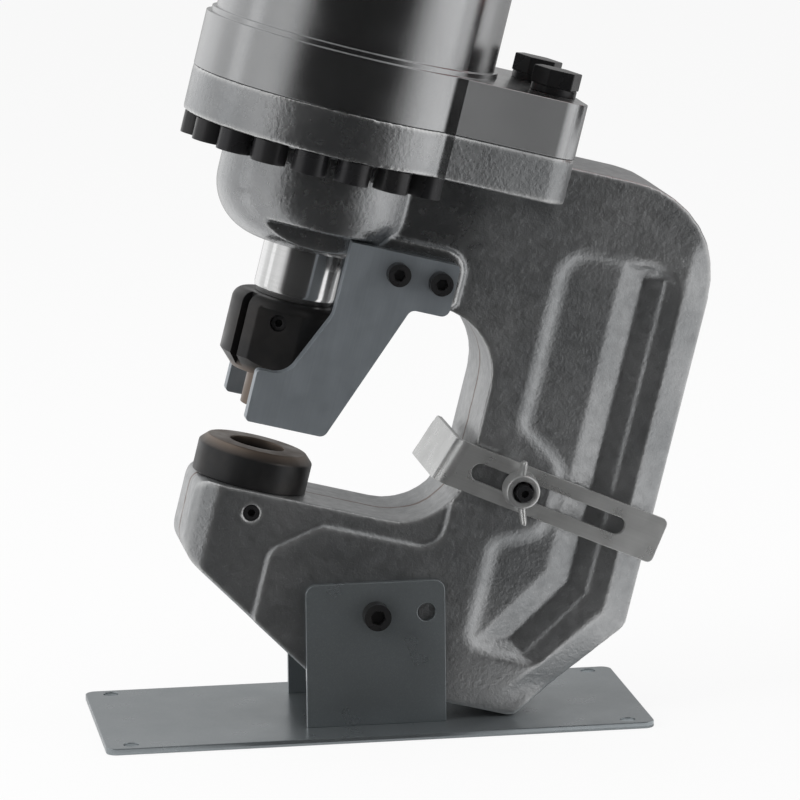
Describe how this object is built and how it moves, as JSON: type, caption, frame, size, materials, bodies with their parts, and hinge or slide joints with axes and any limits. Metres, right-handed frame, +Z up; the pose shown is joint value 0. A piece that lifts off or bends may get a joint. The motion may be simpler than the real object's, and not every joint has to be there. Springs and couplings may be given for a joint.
{
  "type": "cordless hydraulic hole punch",
  "caption": "Electro-hydraulic hole punch: cast C-frame with die, ram and punch, side gauge, tilted sheet-metal stand, cordless pump head with grip and battery.",
  "frame": {"origin": "middle of the base plate's underside, the centre of its four holes", "axes": "+Z up from the base plate, +X along the plate from the punch side to the column side, +Y to the rear as pictured"},
  "size_m": [0.3703, 0.111, 0.4323],
  "materials": {
    "cast_paint": "grey metallic paint over a sand casting",
    "smooth_paint": "smooth grey metallic paint",
    "stand_paint": "semi-gloss grey paint",
    "zinc": "zinc plated plate",
    "bright_steel": "bright nickel finish",
    "black_steel": "black oxide, lightly oiled",
    "ground_steel": "ground and hard chromed",
    "tool_steel": "dark hardened steel",
    "spring_steel": "oiled spring steel",
    "bronze": "turned bronze",
    "seal": "oil-proof rubber",
    "motor_core": "laminated core with its winding, in one piece",
    "housing_red": "fine grained",
    "housing_black": "fine grained",
    "contact": "contact metal"
  },
  "bodies": {
    "frame": {"base_plate": "stand_paint", "upright_front": "stand_paint", "upright_rear": "stand_paint", "stand_screws": "black_steel", "c_frame": "cast_paint", "head_flange": "cast_paint", "cylinder_body": "smooth_paint", "flange_screws": "black_steel", "lobe_bolts": "black_steel", "lobe_washers": "black_steel", "rod_bush": "bronze", "rod_wiper": "seal", "return_spring": "spring_steel", "die": "tool_steel", "die_screw": "black_steel", "stripper_front": "zinc", "stripper_rear": "zinc", "stripper_screws": "black_steel", "gauge_stud": "black_steel", "gauge_washer": "bright_steel", "pump_body": "cast_paint", "pump_screws": "black_steel", "reservoir_cap": "smooth_paint", "oil_bladder": "seal", "oil_plug": "bright_steel", "lever_screw": "black_steel", "shaft_bearings": "ground_steel", "plunger": "ground_steel", "plunger_spring": "spring_steel", "gear_case": "smooth_paint", "case_screws": "black_steel", "rotor_bearings": "ground_steel", "stator": "spring_steel", "shell_left": "housing_red", "shell_right": "housing_red", "shell_screws": "black_steel", "switch_body": "housing_black", "terminal_block": "contact"},
    "ram": {"ram": "ground_steel", "piston_seal": "seal", "punch_holder": "tool_steel", "punch": "tool_steel", "holder_screw": "black_steel"},
    "gauge": {"gauge_bar": "bright_steel"},
    "wing_nut": {"wing_nut": "bright_steel"},
    "release_lever": {"release_lever": "housing_red"},
    "rotor": {"rotor": "motor_core", "cooling_fan": "housing_black"},
    "drive_shaft": {"eccentric_shaft": "ground_steel", "eccentric_bearing": "ground_steel", "drive_gear": "tool_steel"},
    "trigger": {"trigger": "housing_black"},
    "lock_button": {"lock_button": "housing_black"},
    "battery": {"battery_pack": "housing_black"},
    "latch": {"battery_latch": "housing_red"}
  },
  "joints": [
    {"name": "ram_slide", "type": "slide", "parent": "frame", "child": "ram", "axis": [-0.2504, 0, -0.9681], "range_m": [0, 0.02], "stiffness_N_per_m": 3000, "springref_m": -0.02, "deforming": ["return_spring"]},
    {"name": "gauge_slide", "type": "slide", "parent": "frame", "child": "gauge", "axis": [0.9171, 0, -0.3987], "range_m": [-0.039, 0.0045]},
    {"name": "wing_nut_turn", "type": "hinge", "parent": "frame", "child": "wing_nut", "pos_m": [0.05416, -0.032, 0.08962], "axis": [0, 1, 0], "range_deg": [-180, 180]},
    {"name": "release_lever_turn", "type": "hinge", "parent": "frame", "child": "release_lever", "pos_m": [0.04234, -0.0365, 0.39738], "axis": [0, 1, 0], "range_deg": [0, 30], "stiffness_Nm_per_rad": 0.4, "springref_deg": -17.19},
    {"name": "trigger_slide", "type": "slide", "parent": "frame", "child": "trigger", "axis": [0.9681, 0, -0.2504], "range_m": [0, 0.006], "stiffness_N_per_m": 900, "springref_m": -0.003},
    {"name": "lock_button_slide", "type": "slide", "parent": "frame", "child": "lock_button", "axis": [0, 1, 0], "range_m": [-0.003, 0.003]},
    {"name": "battery_slide", "type": "slide", "parent": "frame", "child": "battery", "axis": [0.9681, 0, -0.2504], "range_m": [0, 0.07]},
    {"name": "latch_press", "type": "slide", "parent": "battery", "child": "latch", "axis": [-0.2504, 0, -0.9681], "range_m": [0, 0.004], "stiffness_N_per_m": 1200, "springref_m": -0.002},
    {"name": "rotor_spin", "type": "hinge", "parent": "frame", "child": "rotor", "pos_m": [0.15296, 0, 0.3698], "axis": [0.9681, 0, -0.2504], "continuous": true},
    {"name": "drive_shaft_spin", "type": "hinge", "parent": "frame", "child": "drive_shaft", "pos_m": [0.04864, 0, 0.3658], "axis": [0.9681, 0, -0.2504], "continuous": true}
  ],
  "couplings": [
    {"joint": "drive_shaft_spin", "follows": "rotor_spin", "ratio": -0.33333}
  ]
}
